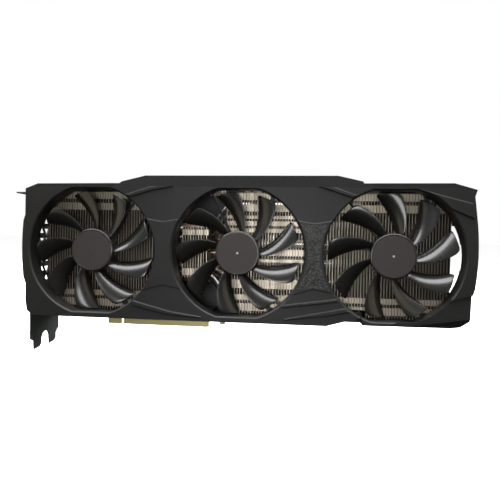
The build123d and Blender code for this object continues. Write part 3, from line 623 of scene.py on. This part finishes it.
stator_steel = layered("stator_steel", (0.42, 0.42, 0.44), (0.12, 0.12, 0.13), 0.5 * mm)
winding_copper = layered("winding_copper", (0.72, 0.30, 0.12), (0.25, 0.07, 0.03), 0.35 * mm)
lead_black = braided("lead_black", (0.014, 0.014, 0.015))
print("motor and leads:", stator_steel.name, winding_copper.name, lead_black.name)

# %% [markdown]
# ## Finishes on the engineering parts
#
# Each node keeps its shape and takes a finish. A table gives every node its finish, so a reader
# can see at a glance what the card is made of, and the print tells of any node left out.

# %% Which node wears which finish
per_fan = {
    "rotor": blade_black, "yoke": steel_zinc, "magnet": ferrite_grey, "shaft": steel_zinc,
    "frame": frame_black, "bearing": plate_copper, "stator": stator_steel,
    "windings": winding_copper, "motor_board": board_black, "lead": lead_black,
}
wears = {
    "shroud": shroud_black, "fin_stack_left": fin_nickel, "fin_stack_middle": fin_nickel,
    "fin_stack_right": fin_nickel, "heat_pipes": pipe_nickel, "cold_plate": plate_copper,
    "base_plate": spreader_black, "pcb": board_black, "edge_contacts": contact_gold,
    "gpu_substrate": substrate_green, "gpu_die": die_mirror, "package_frame": shell_nickel,
    "memory_chips": chip_black, "thermal_pads": pad_grey, "chokes": ferrite_grey,
    "power_stages": chip_black, "capacitors": can_aluminium, "power_sockets": socket_black,
    "power_pins": pin_tin, "fan_headers": header_white, "fan_plugs": plug_white,
    "fan_screws": screw_black, "shroud_screws": screw_black, "bracket_screws": steel_zinc,
    "backplate_screws": screw_black, "cooler_screws": steel_zinc, "io_bracket": bracket_black,
    "displayport_sockets": shell_nickel, "hdmi_socket": shell_nickel,
    "backplate": backplate_black,
}
for name in fan_names:
    for part, finish in per_fan.items():
        wears[f"fan_{name}_{part}"] = finish
for node, finish in wears.items():
    paint(nodes[node], finish)
print(len(wears), "nodes painted;", sorted(set(nodes) - set(wears)) or "none", "left over")

# %% [markdown]
# ## Working by hand, in code
#
# New pieces are modelled with the operators that a person uses in Blender's window. An operator
# acts on whatever is selected, so each helper below first selects one thing and nothing else. In
# edit mode, pick selects by place or by the way a face points, as a person would by eye.


# %% Selecting and editing
def choose(piece):
    """Makes one piece active, and the only one selected."""
    bpy.ops.object.select_all(action="DESELECT")
    piece.select_set(True)
    bpy.context.view_layer.objects.active = piece


@contextmanager
def editing(piece):
    """Edit mode on one piece."""
    choose(piece)
    bpy.ops.object.mode_set(mode="EDIT")
    yield
    bpy.ops.object.mode_set(mode="OBJECT")


def pick(kind, test):
    """In edit mode, selects only the verts, edges or faces whose middle passes the test."""
    mesh = bmesh.from_edit_mesh(bpy.context.object.data)
    bpy.context.tool_settings.mesh_select_mode = [kind == k for k in ("verts", "edges", "faces")]
    bpy.ops.mesh.select_all(action="DESELECT")
    for element in getattr(mesh, kind):
        if kind == "verts":
            spot, normal = element.co, element.normal
        elif kind == "edges":
            spot, normal = (element.verts[0].co + element.verts[1].co) / 2, None
        else:
            spot, normal = element.calc_center_median(), element.normal
        element.select_set(bool(test(spot, normal)))
    mesh.select_flush_mode()
    bmesh.update_edit_mesh(bpy.context.object.data)


def near(first, second):
    """True where two lengths are the same to a hundredth of a millimetre."""
    return abs(first - second) < 0.01 * mm


print("ready to edit")

# %% [markdown]
# Four more steps finish a piece. A modifier is applied at once, so that the mesh is final.
# Joining makes one object of several. Settling puts the place and turn into the mesh, because
# the patterns read the object's own coordinates, which must be the card's. Smoothing shades soft
# curves smooth and leaves real edges sharp.


# %% Finishing a piece
def modifier(piece, kind, **settings):
    """Adds a modifier, sets it and applies it."""
    choose(piece)
    added = piece.modifiers.new(kind.lower(), kind)
    for key, value in settings.items():
        setattr(added, key, value)
    bpy.ops.object.modifier_apply(modifier=added.name)


def join(pieces, name):
    """Makes one object of several, and names it."""
    choose(pieces[0])
    for piece in pieces:
        piece.select_set(True)
    bpy.ops.object.join()
    pieces[0].name = pieces[0].data.name = name
    return pieces[0]


def settle(piece):
    """Puts the piece's place and turn into its mesh."""
    choose(piece)
    bpy.ops.object.transform_apply(location=True, rotation=True, scale=True)


def smooth(piece, degrees):
    """Shades smooth, but for edges sharper than an angle."""
    choose(piece)
    bpy.ops.object.shade_smooth_by_angle(angle=radians(degrees))


def copy_of(piece, name):
    """A copy with a mesh of its own."""
    other = piece.copy()
    other.data = piece.data.copy()
    other.name = other.data.name = name
    scene.collection.objects.link(other)
    return other


print("ready to finish")

# %% [markdown]
# ## Fan wheels
#
# A fan wheel is one moulding: a cup over the motor and nine blades. A blade is widest and flattest
# at its tip, and steep and narrow at the hub, so that all of it pushes air evenly. It is modelled
# as rings: at each radius a flattened circle is added, tilted to the blade's pitch and bowed. The
# rings are bridged, closed at both ends and smoothed by subdivision. Lofting through rings keeps
# the leading edge sharp in plan and round in section, which a bent plate would not.

# %% One ring of a blade
hub_r = 15.5 * mm
hub_front = 11.2 * mm
hub_rear = 2.0 * mm
blade_raise = 0.2 * mm
mid_height = (hub_front + hub_rear) / 2 + blade_raise
ring_points = 16


def make_ring(radius, direction, width, height, bow, thick):
    """One flattened circle, tilted to the blade's pitch and bowed towards the front."""
    a = radians(direction)
    outward = Vector((cos(a), 0, sin(a)))
    around = Vector((-sin(a), 0, cos(a)))
    towards = Vector((0, -1, 0))
    chord = sqrt(width**2 + height**2)
    along = (around * width - towards * height) / chord
    across = (around * height + towards * width) / chord
    tilt = Matrix((along, across, along.cross(across))).transposed()
    centre = outward * radius * mm + towards * mid_height
    half = chord / 2 * mm
    ring = fresh(
        "circle", (1, thick / chord, 1), vertices=ring_points, radius=half, fill_type="NOTHING",
        location=centre, rotation=tilt.to_euler(),
    )
    with editing(ring):
        for step in range(1, ring_points // 4 + 1):
            reach, share = cos(step * tau / ring_points), sin(step * tau / ring_points)
            pick("verts", lambda spot, normal: near(abs((spot - centre).dot(along)), reach * half))
            bpy.ops.transform.translate(value=across * (share**2 * bow * mm))
    return ring


print("rings of", ring_points, "points, about a plane", round(mid_height / mm, 1), "mm from the frame")

# %% [markdown]
# The blade's character is all in the eight rings. The first lies inside the hub, so that the two
# shapes meet with no gap, and the last two are close together and small, which rounds the tip.

# %% One blade
# a ring's radius in mm, its direction in degrees, then its width across, its height along the
# axis, its bow and its thickness in mm
blade_rings = [
    (14.4, -21.0, 4.0, 6.6, 0.4, 1.6),
    (18.5, -17.6, 6.0, 7.2, 0.6, 1.4),
    (24.0, -13.3, 8.8, 7.5, 0.8, 1.3),
    (30.0, -8.6, 11.6, 7.6, 1.0, 1.2),
    (36.0, -3.8, 14.0, 7.5, 1.15, 1.15),
    (40.4, -0.4, 15.2, 7.0, 1.2, 1.1),
    (42.5, 1.3, 14.2, 6.0, 1.05, 1.0),
    (43.1, 1.8, 11.0, 4.6, 0.8, 0.8),
]


def make_blade():
    """The rings, bridged from hub to tip, closed and subdivided."""
    blade = join([make_ring(*ring) for ring in blade_rings], "blade")
    with editing(blade):
        pick("edges", lambda spot, normal: True)
        bpy.ops.mesh.bridge_edge_loops(type="SINGLE")
        bpy.ops.mesh.select_all(action="SELECT")
        bpy.ops.mesh.fill_holes(sides=ring_points)
        bpy.ops.mesh.select_all(action="SELECT")
        bpy.ops.mesh.normals_make_consistent(inside=False)
    modifier(blade, "SUBSURF", levels=2, render_levels=2)
    return blade


blade = make_blade()
print("one blade:", len(blade.data.polygons), "faces")

# %% [markdown]
# The hub is a cup, open to the rear. It could be spun from a profile. It starts here as a
# cylinder, which needs fewer steps: the rear is inset and pushed in to make room for the motor,
# the front rim is bevelled round, and the front is inset twice for a shallow seat.

# %% The hub
cup_wall, cup_floor = 1.4 * mm, 1.6 * mm
rim_rounding = 0.9 * mm
seat_edge, seat_slope, seat_depth = 0.25 * mm, 0.15 * mm, 0.2 * mm
hub_sides = 96


def make_hub():
    """The cup over the motor, with its rounded rim and its seat."""
    depth = hub_front - hub_rear
    hub = fresh(
        "cylinder", vertices=hub_sides, radius=hub_r, depth=depth,
        location=(0, -(hub_front + hub_rear) / 2, 0), rotation=(radians(90), 0, 0),
    )
    push = (0, -(depth - cup_floor), 0)
    with editing(hub):
        pick("faces", lambda spot, normal: normal.y > 0.9)
        bpy.ops.mesh.inset(thickness=cup_wall)
        bpy.ops.mesh.extrude_region_move(TRANSFORM_OT_translate={"value": push})
        pick("edges", lambda spot, normal: near(spot.y, -hub_front))
        bpy.ops.mesh.bevel(offset=rim_rounding, segments=4, affect="EDGES")
        pick("faces", lambda spot, normal: normal.y < -0.99)
        bpy.ops.mesh.inset(thickness=seat_edge)
        bpy.ops.mesh.inset(thickness=seat_slope, depth=-seat_depth)
    smooth(hub, 40)
    return hub


hub = make_hub()
print("hub:", len(hub.data.polygons), "faces")

# %% [markdown]
# A matte film disc lies in the seat. Through its middle the end of the shaft shows as a small
# raised bead. On the middle and right fans its light grey is a painted highlight, and on the left
# fan it keeps the label's grey. Painting the bead on would be simpler, but a raised one catches the
# light from every side.

# %% The label
label_r = hub_r - 1.35 * mm
film, film_depth = 0.16 * mm, 0.13 * mm
bead_r, bead_height, bead_rounding = 0.8 * mm, 0.22 * mm, 0.12 * mm
bead_edge = 0.85 * mm


def make_label():
    """The film disc with a raised bead at its middle."""
    disc = fresh(
        "cylinder", vertices=hub_sides, radius=label_r, depth=film,
        location=(0, film_depth - hub_front, 0), rotation=(radians(90), 0, 0),
    )
    with editing(disc):
        pick("faces", lambda spot, normal: normal.y < -0.99)
        bpy.ops.mesh.inset(thickness=label_r - bead_r)
        bpy.ops.mesh.extrude_region_move(TRANSFORM_OT_translate={"value": (0, -bead_height, 0)})
        bpy.ops.mesh.bevel(offset=bead_rounding, segments=3, affect="EDGES")
    # The faces inside bead_edge take the bead's painted highlight.
    paint(disc, label_grey, bead_painted_highlight)
    for face in disc.data.polygons:
        face.material_index = int(Vector((face.center.x, face.center.z)).length < bead_edge)
    smooth(disc, 30)
    return disc


label = make_label()
print("label:", len(label.data.polygons), "faces,", round(label_r / mm, 2), "mm in radius")

# %% [markdown]
# The blade is copied round the hub, and the whole wheel is copied to each fan. An Array modifier
# about an empty would do that too, but it leaves a helper object behind. The wheels were at rest
# at different angles when the fans stopped, so each is turned a little by its own amount. The
# wheel rides on its fan's body and stands for the engineering model's plainer rotor.

# %% Three fan wheels
blade_count = 9
blade_phase = {"left": 23.0, "middle": 21.5, "right": 14.5}
for name in fan_names:
    parts = [copy_of(hub, "hub_copy")]
    for k in range(blade_count):
        part = copy_of(blade, "blade_copy")
        part.rotation_euler = (0, -radians(k * 360 / blade_count), 0)
        parts.append(part)
    for part in parts:
        settle(part)
    wheel = join(parts, f"fan_{name}_wheel")
    disc = copy_of(label, f"fan_{name}_label")
    for piece in (wheel, disc):
        piece.location = fan_centre(name)
        piece.rotation_euler = (0, -radians(blade_phase[name]), 0)
        settle(piece)
        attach(piece, f"fan_{name}")
    paint(wheel, blade_black)
    # The left fan's bead keeps the label's grey and no painted highlight.
    if name == "left":
        disc.data.materials[1] = label_grey
    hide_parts(f"fan_{name}_rotor")
    smooth(wheel, 50)
    print(wheel.name, len(wheel.data.polygons), "faces")
for piece in (hub, label, blade):
    bpy.data.objects.remove(piece)

# %% [markdown]
# ## The pebbled panel
#
# Between the middle and right fans the shroud's face carries a pebbled panel, moulded to look like
# leather. Bump alone would look flat at the panel's edge, so the pebbles are real: a fine grid is
# drawn in to the hourglass between the two openings, given relief by a Displace modifier with a
# cell texture, and thickened by Solidify. A formula moves the grid's points, because no operator
# follows two circles at once.

# %% The panel's shape
panel_gap = 48.9 * mm  # from a fan's axis to the panel's edge
panel_low, panel_high = 36.5 * mm, 84.0 * mm
panel_y = shroud_low.y + 0.30 * mm
edge_dip, half_width = 2.2 * mm, 18 * mm
pebble_size, pebble_relief, panel_backing = 1.4 * mm, 0.34 * mm, 0.14 * mm
columns, rows = 64, 150


def make_panel():
    """An hourglass of real pebbles between two openings."""
    left, right = fan_centre("middle"), fan_centre("right")
    panel = fresh(
        "grid", x_subdivisions=columns, y_subdivisions=rows, size=2.0, rotation=(radians(90), 0, 0),
    )
    for vert in panel.data.vertices:
        across, up = (vert.co.x + 1) / 2, (vert.co.z + 1) / 2
        z = panel_low + up * (panel_high - panel_low)
        reach = sqrt(panel_gap**2 - (z - left.z) ** 2)
        start, end = left.x + reach, right.x - reach
        x = start + across * (end - start)
        dip = edge_dip * (1 - ((x - (left.x + right.x) / 2) / half_width) ** 2)
        vert.co = (x, panel_y, z + dip * (1 - 2 * up))
    pebbles = bpy.data.textures.new("pebbles", "VORONOI")
    pebbles.noise_scale = pebble_size
    relief = {"strength": -pebble_relief, "mid_level": 0.35}
    modifier(panel, "DISPLACE", texture=pebbles, texture_coords="LOCAL", **relief)
    modifier(panel, "SOLIDIFY", thickness=panel_backing, offset=-1.0)
    smooth(panel, 60)
    return panel


panel = make_panel()
panel.name = panel.data.name = "pebbled_panel"
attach(panel, "card")
print("panel:", len(panel.data.polygons), "faces")

# %% [markdown]
# The panel is the shroud's plastic with another texture. Pits between the pebbles scatter light, so
# cells of about a millimetre raise the roughness there, and darken the colour as painted shade.


# %% The panel's finish
def pebbled_plastic():
    """Black plastic with painted shade in its pits, which are also duller."""
    finish = Finish("pebbled_plastic", (0.02, 0.02, 0.02), 0.42)
    pits, slow = finish.cells(820.0), finish.noise(260.0, 3.0)
    # Painted shade: darker towards the cells' edges, the pits between the pebbles.
    shade = pits * slow * 3
    finish.set("Base Color", finish.mix(shade, (0.045, 0.043, 0.041), (0.004, 0.004, 0.004)))
    finish.set("Roughness", pits * 0.25 + 0.36)
    finish.bump(pits, 0.16)
    return finish.material


paint(panel, pebbled_plastic())
print(panel.name, "wears", panel.data.materials[0].name)

# %% [markdown]
# ## Capacitors behind the processor
#
# Through the backplate's window shows a field of tiny ceramic capacitors, which smooth the
# processor's supply. One is a brown ceramic block with a tinned cap at each end. Painted stripes
# on a box would do from afar. Here the cube is cut across near each end, the ends are grown a
# little, and every edge is softened, so that the caps really stand proud.

# %% One capacitor
chip_length, chip_width, chip_height = 2.0 * mm, 1.25 * mm, 0.9 * mm
edge_rounding = 0.06 * mm
cap_growth = (1.0, 1.08, 1.06)


def make_chip():
    """One capacitor about the origin, lying along X."""
    chip = fresh("cube", (chip_length, chip_height, chip_width), size=1.0)
    with editing(chip):
        for side in (-0.25, 0.25):
            bpy.ops.mesh.select_all(action="SELECT")
            bpy.ops.mesh.bisect(plane_co=(side * chip_length, 0, 0), plane_no=(1, 0, 0))
        pick("verts", lambda spot, normal: abs(spot.x) > 0.4 * chip_length)
        bpy.ops.transform.resize(value=cap_growth)
        bpy.ops.mesh.select_all(action="SELECT")
        bpy.ops.mesh.bevel(offset=edge_rounding, segments=1, affect="EDGES")
    paint(chip, ceramic_tan, pin_tin)
    for face in chip.data.polygons:
        face.material_index = int(abs(face.center.x) > 0.25 * chip_length)
    return chip


chip = make_chip()
print("one capacitor:", len(chip.data.polygons), "faces")

# %% [markdown]
# The field is a square grid behind the processor. Every second ring of the grid is turned, one
# ring is left free, and a few places are empty, as on a board whose maker fits no more than the
# supply needs. All the capacitors are one piece, because none of them ever moves.

# %% The field of capacitors
field_side = 9
column_pitch, row_pitch = 3.6 * mm, 3.4 * mm
solder = 0.04 * mm
window_middle = middle_of("gpu_die")
board_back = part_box("pcb")[1].y
field = []
for row in range(field_side):
    for column in range(field_side):
        up, across = row - field_side // 2, column - field_side // 2
        ring = max(abs(up), abs(across))
        if ring == 2 or (row + column) % 7 == 3:
            continue
        part = copy_of(chip, "chip_copy")
        x, z = window_middle.x + across * column_pitch, window_middle.z + up * row_pitch
        part.location = (x, board_back + chip_height / 2 + solder, z)
        part.rotation_euler = (0, radians(90) if ring % 2 else 0, 0)
        settle(part)
        field.append(part)
capacitor_field = join(field, "rear_capacitors")
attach(capacitor_field, "card")
bpy.data.objects.remove(chip)
print("rear_capacitors:", len(field), "pieces,", len(capacitor_field.data.polygons), "faces")

# %% [markdown]
# ## The size of the whole
#
# Looks don't change the card's dimensions, so the box of what is visible is measured and compared
# with the engineering model's box.

# %% Sizes
visual_box = [list(corner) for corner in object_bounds()]
grown = [round((v - c) / mm, 2) for v, c in zip(visual_box[1], cad_box[1])]
print("the visible card reaches past the engineering model by", grown, "mm")
